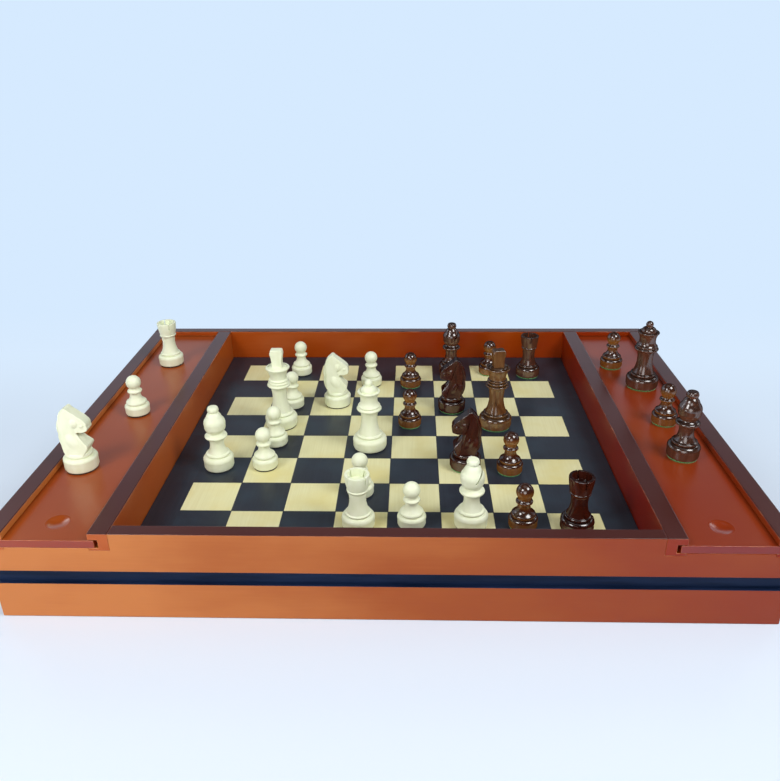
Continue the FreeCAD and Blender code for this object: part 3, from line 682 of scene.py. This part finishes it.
def brown_varnish(name, dark, middle, light, painted_glow_colour, painted_glow_from, painted_glow_full, top=0.3):
    """Brown stained wood under poured varnish, with a painted glow of bounce light on the
    undersides and painted shade darkening the upper faces.
    """
    material, tree, shader = finish_named(
        name, Roughness=0.5, Specular_IOR_Level=0.0, Coat_Roughness=0.18, Coat_IOR=1.85
    )
    rings = add(
        tree,
        "TexNoise",
        {
            "Vector": wood_place(tree, 2, 2.5 * MM, 16 * MM),
            "Scale": 1.0,
            "Detail": 4.0,
            "Roughness": 0.6,
            "Distortion": 0.8,
        },
    )
    stain = ramp(tree, rings.outputs["Fac"], (0.25, dark), (0.8, light), (0.52, middle))
    # Painted light: faces turned down take the painted glow colour, and faces turned up are
    # darkened as painted shade, down to the share given as top.
    under = add(tree, "Attribute", attribute_name="under")
    painted_underside_glow = add(
        tree, "MapRange", {"Value": under.outputs["Fac"], "From Min": painted_glow_from, "From Max": painted_glow_full}
    )
    painted_dark_tops = add(
        tree,
        "MapRange",
        {"Value": under.outputs["Fac"], "From Min": 0.1, "From Max": 0.4, "To Min": top},
    )
    shaded = blend(tree, painted_underside_glow.outputs[0], stain, linear(painted_glow_colour))
    tree.links.new(
        add(
            tree, "HueSaturation", {"Color": shaded, "Value": painted_dark_tops.outputs[0]}
        ).outputs[0], shader.inputs["Base Color"]
    )
    turned_away = add(tree, "LayerWeight", {"Blend": 0.5})
    gloss = add(
        tree,
        "MapRange",
        {
            "Value": turned_away.outputs["Facing"],
            "From Min": 0.3,
            "From Max": 0.7,
            "To Min": 1.0,
            "To Max": 0.05,
        },
    )
    tree.links.new(gloss.outputs[0], shader.inputs["Coat Weight"])
    runs = add(
        tree,
        "TexNoise",
        {"Vector": wood_place(tree, 2, 4 * MM, 6 * MM, 2.1), "Scale": 1.0, "Detail": 1.0},
    )
    bump = add(
        tree, "Bump", {"Height": runs.outputs["Fac"], "Strength": 0.12, "Distance": 0.3 * MM}
    )
    tree.links.new(bump.outputs[0], shader.inputs["Coat Normal"])
    return material


# Each varnish gives its stain, the colour of its painted glow, where that glow starts and is full,
# and for the pawns a lighter painted shade on the upper faces.
dark_varnish = brown_varnish(
    "dark_brown_varnish", "#280E08", "#3E170D", "#522313", "#682F18", 0.5, 0.9
)
umber_varnish = brown_varnish(
    "umber_varnish", "#33201A", "#4E2F22", "#623C2A", "#764A32", 0.45, 0.85
)
walnut_varnish = brown_varnish(
    "walnut_varnish", "#402511", "#684324", "#7E5A34", "#96693C", 0.45, 0.85
)
golden_varnish = brown_varnish(
    "golden_brown_varnish", "#30160A", "#482413", "#62371E", "#B47632", 0.32, 0.9, 0.5
)
MEN_FINISHES = {"pawn": golden_varnish, "king": walnut_varnish, "queen": umber_varnish}
MEN_FINISHES |= {
    "dark_rook_1": umber_varnish, "dark_bishop_1": umber_varnish, "dark_bishop_2": umber_varnish
}


def felt_cloth(name, dark, light):
    """Short matted wool."""
    material, tree, shader = finish_named(name, Roughness=0.95, IOR=1.4, Sheen_Weight=0.3)
    fuzz = add(
        tree,
        "TexNoise",
        {"Vector": wood_place(tree, 2, 0.5 * MM, 0.5 * MM), "Scale": 1.0, "Detail": 3.0},
    )
    tree.links.new(
        ramp(tree, fuzz.outputs["Fac"], (0.3, dark), (0.7, light)), shader.inputs["Base Color"]
    )
    nap = add(tree, "Bump", {"Height": fuzz.outputs["Fac"], "Strength": 0.6, "Distance": 0.3 * MM})
    tree.links.new(nap.outputs[0], shader.inputs["Normal"])
    return material


green_felt = felt_cloth("green_felt", "#34783A", "#78B070")
black_felt = felt_cloth("black_felt", "#0B0E0D", "#181D1B")

FOOT = ((0, 0, 0), (0.95, 0, 0), (1.0, 0.03, 0))


def outline_of(shares, radius, height):
    """Points of an outline: shares of radius and height, and the bulge of the line to each."""
    points = []
    for across, up, bulge in shares:
        end = Vector((across * radius, up * height))
        if bulge == 0:
            points.append(end)
            continue
        start = points[-1]
        chord = end - start
        if end.x == 0:
            centre = Vector((0, (start.length_squared - end.y**2) / (2 * (start.y - end.y))))
        else:
            reach = (0.25 - bulge * bulge) / (2 * bulge)
            centre = (start + end) / 2 - Vector((-chord.y, chord.x)) * reach
        first, last = start - centre, end - centre
        swing = math.atan2(first.x * last.y - first.y * last.x, first.dot(last))
        steps = max(4, math.ceil(abs(swing) / math.radians(11)))
        for step in range(1, steps + 1):
            angle = swing * step / steps
            cos, sin = math.cos(angle), math.sin(angle)
            points.append(
                centre + Vector((first.x * cos - first.y * sin, first.x * sin + first.y * cos))
            )
        points[-1] = end
    return points


def draw_edges(name, points, closed=False):
    """A chain of edges through points, drawn by pulling one corner along."""
    clear_selection()
    bpy.ops.mesh.primitive_plane_add(size=MM)
    piece = bpy.context.object
    piece.name = name
    bpy.ops.object.mode_set(mode="EDIT")
    bpy.ops.mesh.select_all(action="SELECT")
    bpy.ops.mesh.merge(type="CENTER")
    bpy.ops.transform.translate(value=points[0])
    for start, end in zip(points, points[1:]):
        bpy.ops.mesh.extrude_region_move(TRANSFORM_OT_translate={"value": end - start})
    bpy.ops.mesh.select_all(action="SELECT")
    if closed:
        bpy.ops.mesh.edge_face_add()
    return piece


def spin_round():
    """Spins the selected outline round the upright axis into one closed skin."""
    bpy.ops.mesh.spin(steps=TURNING_STEPS, angle=math.tau, center=(0, 0, 0), axis=(0, 0, 1))
    bpy.ops.mesh.select_all(action="SELECT")
    bpy.ops.mesh.remove_doubles(threshold=TURNING_WELD)
    bpy.ops.mesh.normals_make_consistent(inside=False)


def turned_piece(name, shares, radius, height):
    """A shape spun round the upright axis, its sharp turnings softened as by sanding."""
    points = [
        Vector((spot.x, 0, spot.y)) for spot in outline_of(shares, radius, height - FELT_THICKNESS)
    ]
    piece = draw_edges(name, points)
    spin_round()
    bpy.ops.transform.translate(value=(0, 0, FELT_THICKNESS))
    bpy.ops.object.mode_set(mode="OBJECT")
    return piece


def soften(piece, width, angle=32, segments=2):
    """Takes the sharpness off the edges, as sanding and varnish do."""
    pick(piece)
    rounding = piece.modifiers.new("softened", "BEVEL")
    rounding.width = width
    rounding.segments = segments
    rounding.limit_method = "ANGLE"
    rounding.angle_limit = math.radians(angle)
    bpy.ops.object.modifier_apply(modifier="softened")
    bpy.ops.object.shade_smooth_by_angle(angle=SMOOTH_ANGLE)


def combine(piece, tool, operation):
    """Joins another solid to a piece, or cuts it away, and removes the tool."""
    pick(piece)
    made = piece.modifiers.new("cut", "BOOLEAN")
    made.operation = operation
    made.solver = "EXACT"
    made.object = tool
    bpy.ops.object.modifier_apply(modifier="cut")
    bpy.data.objects.remove(tool)


def block(name, size, middle, tilt=(0, 0, 0)):
    """A plain block to cut with."""
    clear_selection()
    bpy.ops.mesh.primitive_cube_add(size=1, location=middle, rotation=tilt, scale=size)
    made = bpy.context.object
    made.name = name
    bpy.ops.object.transform_apply(location=True, rotation=True, scale=True)
    return made


def plate(name, outline, thickness):
    """A flat solid of an outline in the upright plane, the same to both sides of it."""
    made = draw_edges(
        name, [Vector((spot.x, -thickness / 2, spot.y)) for spot in outline], closed=True
    )
    bpy.ops.mesh.extrude_region_move(TRANSFORM_OT_translate={"value": (0, thickness, 0)})
    bpy.ops.mesh.select_all(action="SELECT")
    bpy.ops.mesh.normals_make_consistent(inside=False)
    bpy.ops.transform.translate(value=(0, 0, FELT_THICKNESS))
    bpy.ops.object.mode_set(mode="OBJECT")
    return made


# The king has three rings under a flared crown, and a plain block for a finial. The block widens
# towards its flat top, and its edges are well rounded.
KING_BLOCK_THICKNESS = 8 * MM
king = turned_piece(
    "king_pattern",
    FOOT
    + (
        (1.0, 0.080, 0),
        (0.80, 0.150, -0.22),
        (0.73, 0.155, 0),
        (0.73, 0.185, -0.40),
        (0.66, 0.190, 0),
        (0.49, 0.490, 0.08),
        (0.54, 0.515, 0),
        (0.66, 0.530, 0),
        (0.66, 0.555, -0.40),
        (0.58, 0.562, 0),
        (0.60, 0.568, 0),
        (0.60, 0.590, -0.40),
        (0.54, 0.597, 0),
        (0.57, 0.602, 0),
        (0.57, 0.620, -0.40),
        (0.51, 0.627, 0),
        (0.69, 0.750, 0.08),
        (0.71, 0.775, -0.30),
        (0.60, 0.780, 0),
        (0.56, 0.765, 0),
        (0.42, 0.785, -0.10),
        (0, 0.790, 0),
    ),
    KING_RADIUS,
    KING_HEIGHT,
)
block_shares = (
    (-0.33, 0.77, 0),
    (0.33, 0.77, 0),
    (0.41, 0.95, 0.05),
    (0.34, 1.0, 0),
    (-0.34, 1.0, 0),
    (-0.41, 0.95, 0),
    (-0.33, 0.77, 0.05),
)
finial_outline = outline_of(block_shares, KING_RADIUS, KING_HEIGHT - FELT_THICKNESS)[:-1]
finial = plate("king_finial", finial_outline, KING_BLOCK_THICKNESS)
soften(finial, 0.9 * MM, 25, 3)
combine(king, finial, "UNION")
soften(king, SANDED_EDGE)

# The queen wears a cupped crown with a dome and a small ball. Its neck has one ring and a collar
# above it.
queen = turned_piece(
    "queen_pattern",
    FOOT
    + (
        (1.0, 0.095, 0),
        (0.80, 0.170, -0.22),
        (0.72, 0.175, 0),
        (0.72, 0.210, -0.40),
        (0.65, 0.215, 0),
        (0.51, 0.525, 0.07),
        (0.55, 0.552, 0),
        (0.67, 0.567, 0),
        (0.67, 0.600, -0.45),
        (0.62, 0.610, 0),
        (0.61, 0.640, -0.35),
        (0.50, 0.710, 0.10),
        (0.61, 0.815, 0.08),
        (0.64, 0.842, -0.30),
        (0.55, 0.845, 0),
        (0.46, 0.830, 0),
        (0.20, 0.912, -0.22),
        (0.20, 0.922, 0),
        (0, 1.0, -0.27),
    ),
    QUEEN_RADIUS,
    QUEEN_HEIGHT,
)
soften(queen, SANDED_EDGE)

# The bishop's mitre is an onion with one slanting saw cut, under a flat button. The cut starts
# near the middle and comes out at one side.
BISHOP_CUT_WIDTH = 1.0 * MM
bishop = turned_piece(
    "bishop_pattern",
    FOOT
    + (
        (1.0, 0.115, 0),
        (0.82, 0.205, -0.22),
        (0.74, 0.210, 0),
        (0.74, 0.250, -0.40),
        (0.66, 0.255, 0),
        (0.49, 0.450, 0.10),
        (0.50, 0.480, 0),
        (0.66, 0.500, 0),
        (0.66, 0.550, -0.40),
        (0.50, 0.580, 0.10),
        (0.52, 0.600, 0),
        (0.70, 0.700, -0.14),
        (0.54, 0.830, -0.14),
        (0.30, 0.915, -0.08),
        (0.35, 0.925, 0),
        (0.35, 0.980, -0.12),
        (0.29, 1.0, -0.10),
        (0, 1.0, 0),
    ),
    BISHOP_RADIUS,
    BISHOP_HEIGHT,
)
soften(bishop, SANDED_EDGE)
wood = BISHOP_HEIGHT - FELT_THICKNESS
inner, outer = Vector(
    (0.16 * BISHOP_RADIUS, 0.70 * wood)
), Vector((0.80 * BISHOP_RADIUS, 0.93 * wood))
middle = (inner + outer) / 2
slope = math.atan2(outer.y - inner.y, outer.x - inner.x)
saw = block(
    "saw_cut",
    ((outer - inner).length, 2 * BISHOP_RADIUS, BISHOP_CUT_WIDTH),
    (middle.x, 0, middle.y + FELT_THICKNESS),
    (0, -slope, 0),
)
combine(bishop, saw, "DIFFERENCE")

# The rook is a hollow cup with four thin slots in its wall. Two saw cuts that cross in the middle
# make all four.
ROOK_SLOT_WIDTH = 0.8 * MM
rook = turned_piece(
    "rook_pattern",
    FOOT
    + (
        (1.0, 0.13, 0),
        (0.82, 0.230, -0.22),
        (0.74, 0.235, 0),
        (0.74, 0.280, -0.40),
        (0.70, 0.285, 0),
        (0.53, 0.620, 0.08),
        (0.57, 0.665, 0.10),
        (0.62, 0.690, 0),
        (0.62, 0.720, -0.30),
        (0.62, 0.730, 0),
        (0.76, 0.985, -0.03),
        (0.74, 1.0, 0),
        (0.58, 1.0, 0),
        (0.53, 0.86, 0),
        (0, 0.85, 0),
    ),
    ROOK_RADIUS,
    ROOK_HEIGHT,
)
soften(rook, SANDED_EDGE)
wood = ROOK_HEIGHT - FELT_THICKNESS
for size in (
    (ROOK_SLOT_WIDTH, 2 * ROOK_RADIUS, 0.2 * wood),
    (2 * ROOK_RADIUS, ROOK_SLOT_WIDTH, 0.2 * wood),
):
    slot = block("rook_slot", size, (0, 0, FELT_THICKNESS + (0.87 + 0.1) * wood))
    combine(rook, slot, "DIFFERENCE")

# The pawn is a ball on a narrow collar. Its body curves out from the neck like an ogee, down to a
# low stepped foot.
BALL_SHARE, BALL_MIDDLE = 0.61, 0.8186
pawn = turned_piece(
    "pawn_pattern",
    FOOT
    + (
        (1.0, 0.145, 0),
        (0.84, 0.250, -0.22),
        (0.78, 0.255, 0),
        (0.74, 0.340, -0.30),
        (0.44, 0.535, 0.14),
        (0.44, 0.550, 0),
        (0.50, 0.560, 0),
        (0.50, 0.630, -0.42),
        (0.44, 0.655, 0),
        (0.44, 0.693, 0),
        (BALL_SHARE, BALL_MIDDLE, -0.097),
        (0, 1.0, -0.207),
    ),
    PAWN_RADIUS,
    PAWN_HEIGHT,
)
soften(pawn, SANDED_EDGE)

# The knight's head is sawn from a flat blank and carved: chest and cheeks chamfered, and a ridge
# of mane along the back. It stands on a low turned foot.
NECK_THICKNESS, NOSE_THICKNESS, MANE_THICKNESS = 17 * MM, 9.5 * MM, 7 * MM
knight = turned_piece(
    "knight_pattern",
    FOOT
    + (
        (1.0, 0.14, 0),
        (0.86, 0.205, -0.22),
        (0.74, 0.210, 0),
        (0.70, 0.275, -0.30),
        (0, 0.28, 0),
    ),
    KNIGHT_RADIUS,
    KNIGHT_HEIGHT,
)
wood = KNIGHT_HEIGHT - FELT_THICKNESS
head_shares = (
    (-0.52, 0.24, 0),
    (0.48, 0.24, 0),
    (0.78, 0.36, 0),
    (0.74, 0.41, -0.10),
    (0.24, 0.565, 0.04),
    (0.28, 0.61, 0.20),
    (0.54, 0.605, 0),
    (0.82, 0.63, 0),
    (0.90, 0.70, -0.20),
    (0.76, 0.80, -0.14),
    (0.45, 0.865, -0.05),
    (0.12, 0.932, -0.03),
    (-0.08, 0.975, 0.02),
    (-0.28, 0.998, -0.18),
    (-0.48, 0.94, -0.12),
    (-0.64, 0.81, -0.06),
    (-0.74, 0.58, -0.10),
    (-0.66, 0.32, -0.08),
)
head = plate("knight_head", outline_of(head_shares, KNIGHT_RADIUS, wood), NECK_THICKNESS)
for corner in head.data.vertices:
    rise = (corner.co.z - FELT_THICKNESS) / wood
    share = min(1.0, max(0.0, (rise - 0.28) / (0.55 - 0.28)))
    corner.co.y *= 1 - share * (1 - NOSE_THICKNESS / NECK_THICKNESS)
soften(head, 2.4 * MM, 50, 4)
mane_shares = (
    (-0.40, 0.26, 0),
    (-0.20, 0.50, 0.05),
    (-0.16, 0.92, 0.10),
    (-0.28, 0.985, -0.10),
    (-0.50, 0.965, -0.10),
    (-0.80, 0.82, -0.10),
    (-0.95, 0.58, -0.10),
    (-0.82, 0.32, -0.08),
    (-0.62, 0.26, 0),
)
mane = plate("knight_mane", outline_of(mane_shares, KNIGHT_RADIUS, wood), MANE_THICKNESS)
soften(mane, 2.6 * MM, 50, 4)
combine(head, mane, "UNION")
for name, middle, reach, tilt in (
    ("cheek", (0.10, 0.755), (0.50, 0.135, 12 * MM), 20),
    ("muzzle", (0.62, 0.725), (0.26, 0.072, 11 * MM), 10),
    ("shoulder", (-0.04, 0.42), (0.62, 0.24, 15 * MM), -30),
):
    clear_selection()
    bpy.ops.mesh.primitive_uv_sphere_add(
        segments=32,
        ring_count=16,
        location=(middle[0] * KNIGHT_RADIUS, 0, middle[1] * wood + FELT_THICKNESS),
        rotation=(0, math.radians(tilt), 0),
        scale=(reach[0] * KNIGHT_RADIUS, reach[2] / 2, reach[1] * wood),
    )
    swelling = bpy.context.object
    swelling.name = name
    bpy.ops.object.transform_apply(location=True, rotation=True, scale=True)
    combine(head, swelling, "UNION")
combine(knight, head, "UNION")
soften(knight, 0.15 * MM, 50)

# Each pattern and its felt are copied for every man of the kind, and set down where its node is.
# The knights face the way they do in the photo, and some other men are turned a little.
patterns = {
    "king": (king, KING_RADIUS),
    "queen": (queen, QUEEN_RADIUS),
    "bishop": (bishop, BISHOP_RADIUS),
    "knight": (knight, KNIGHT_RADIUS),
    "rook": (rook, ROOK_RADIUS),
    "pawn": (pawn, PAWN_RADIUS),
}
felts = {}
for kind, (pattern, radius) in patterns.items():
    pick(pattern)
    bpy.ops.object.shade_smooth_by_angle(angle=SMOOTH_ANGLE)
    weigh_normals(pattern)
    # How far each point faces down, which sets the painted glow and the painted shade of the
    # varnish.
    under = pattern.data.attributes.new("under", "FLOAT", "POINT")
    for corner in pattern.data.vertices:
        under.data[corner.index].value = 0.5 - 0.5 * corner.normal.z
    clear_selection()
    bpy.ops.mesh.primitive_cylinder_add(
        vertices=TURNING_STEPS,
        radius=radius * FELT_SHARE,
        depth=FELT_THICKNESS,
        location=(0, 0, FELT_THICKNESS / 2),
    )
    felt = bpy.context.object
    bpy.ops.object.transform_apply(location=True, rotation=True, scale=True)
    soften(felt, 0.3 * MM)
    felts[kind] = felt

TURNS = {
    "cream_rook_1": 45,
    "cream_bishop_1": 90,
    "dark_knight_1": 180,
    "dark_king": 10,
    "dark_knight_2": 180,
    "dark_rook_2": 10,
    "cream_rook_2": 30,
    "dark_bishop_2": 100,
}
body_of_node = {
    node: body for body, nodes in frame["record"]["behaviour"]["bodies"].items() for node in nodes
}


def place_man(node, kind, move):
    """A copy of one of the men and its felt, set down where its node is."""
    wood_finish, felt_finish = cream_lacquer, black_felt
    if node.startswith("dark"):
        wood_finish = MEN_FINISHES.get(node, MEN_FINISHES.get(kind, dark_varnish))
        felt_finish = green_felt
    for pattern, ending, finish in (
        (patterns[kind][0], "wood", wood_finish), (felts[kind], "felt", felt_finish)
    ):
        copy = bpy.data.objects.new(f"{node}_{ending}", pattern.data.copy())
        scene.collection.objects.link(copy)
        copy.data.transform(move)
        copy.data.materials.clear()
        copy.data.materials.append(finish)
        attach(copy, body_of_node[node])
        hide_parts(node)


for node in sorted(body_of_node):
    kind = node.split("_")[1] if node.startswith(("cream", "dark")) else ""
    if kind not in patterns or node == "dark_pawn_8":
        continue
    low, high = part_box(node)
    axis = (low + high) / 2
    turn = TURNS.get(node, 0)
    if kind == "knight":
        axis.x = high.x - KNIGHT_RADIUS if turn else low.x + KNIGHT_RADIUS
    move = Matrix.Translation((axis.x, axis.y, low.z)) @ Matrix.Rotation(
        math.radians(turn), 4, "Z"
    )
    place_man(node, kind, move)

# The eighth dark pawn lies on its side in the right compartment. It rests on the rim of its foot
# and on its head.
low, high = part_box("dark_pawn_8")
lean = math.atan2(PAWN_RADIUS * (1 - BALL_SHARE), (PAWN_HEIGHT - FELT_THICKNESS) * BALL_MIDDLE)
tipped = Matrix.Rotation(math.pi / 2 + lean, 4, "X")
corners = [tipped @ corner.co for corner in patterns["pawn"][0].data.vertices]
corners += [tipped @ corner.co for corner in felts["pawn"].data.vertices]
shift = [low[axis] - min(corner[axis] for corner in corners) for axis in range(3)]
place_man("dark_pawn_8", "pawn", Matrix.Translation(shift) @ tipped)

for pattern, _ in patterns.values():
    bpy.data.objects.remove(pattern)
for felt in felts.values():
    bpy.data.objects.remove(felt)

# Twelve draughts of each colour are stored in two stacks at the back of a compartment. Each is a
# turned disc, dished on both faces inside a raised rim, with a fine ring near the dish's edge.
LEVELS, STACKS = 6, 2
DISH, DISC_RIM = 0.8 * MM, 2.2 * MM
RING_STEP, RING_DEPTH = 0.5 * MM, 0.4 * DISH
DISC_UNDER = 0.4
for colour, finish, slot_name in (
    ("cream", cream_lacquer, "cream_lacquered_wood"),
    ("dark", dark_varnish, "dark_varnished_wood"),
):
    node = f"{colour}_draughts"
    low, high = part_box(node)
    radius = (high.x - low.x) / 2
    thickness = (high.z - low.z) / LEVELS
    dished = radius - 2 * DISC_RIM
    half_outline = [
        (0, thickness - DISH),
        (dished - 3 * RING_STEP, thickness - DISH),
        (dished - 2 * RING_STEP, thickness - DISH - RING_DEPTH),
        (dished - RING_STEP, thickness - DISH),
        (dished, thickness - DISH),
        (radius - DISC_RIM, thickness),
        (radius - DISH, thickness),
        (radius, thickness - DISH),
    ]
    outline = half_outline + [(x, thickness - z) for x, z in reversed(half_outline)]
    disc = draw_edges(f"{colour}_disc", [Vector((x, 0, z)) for x, z in outline])
    spin_round()
    bpy.ops.object.mode_set(mode="OBJECT")
    soften(disc, 0.2 * MM, 25)
    # One middle value, so that the discs take neither painted glow nor painted shade.
    under = disc.data.attributes.new("under", "FLOAT", "POINT")
    for corner in disc.data.vertices:
        under.data[corner.index].value = DISC_UNDER
    copies = []
    for count in range(LEVELS * STACKS):
        stack, level = count % STACKS, count // STACKS
        along = high.y - radius if stack == 0 else low.y + radius
        copy = bpy.data.objects.new(f"{node}_turned_{count}", disc.data.copy())
        scene.collection.objects.link(copy)
        copy.data.transform(
            Matrix.Translation(((low.x + high.x) / 2, along, low.z + level * thickness))
        )
        copies.append(copy)
    bpy.data.objects.remove(disc)
    clear_selection()
    for copy in copies:
        copy.select_set(True)
    bpy.context.view_layer.objects.active = copies[0]
    bpy.ops.object.join()
    stacks = bpy.context.object
    stacks.name = f"{node}_turned"
    stacks.data.materials.clear()
    stacks.data.materials.append(finish)
    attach(stacks, "case")
    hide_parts(node)
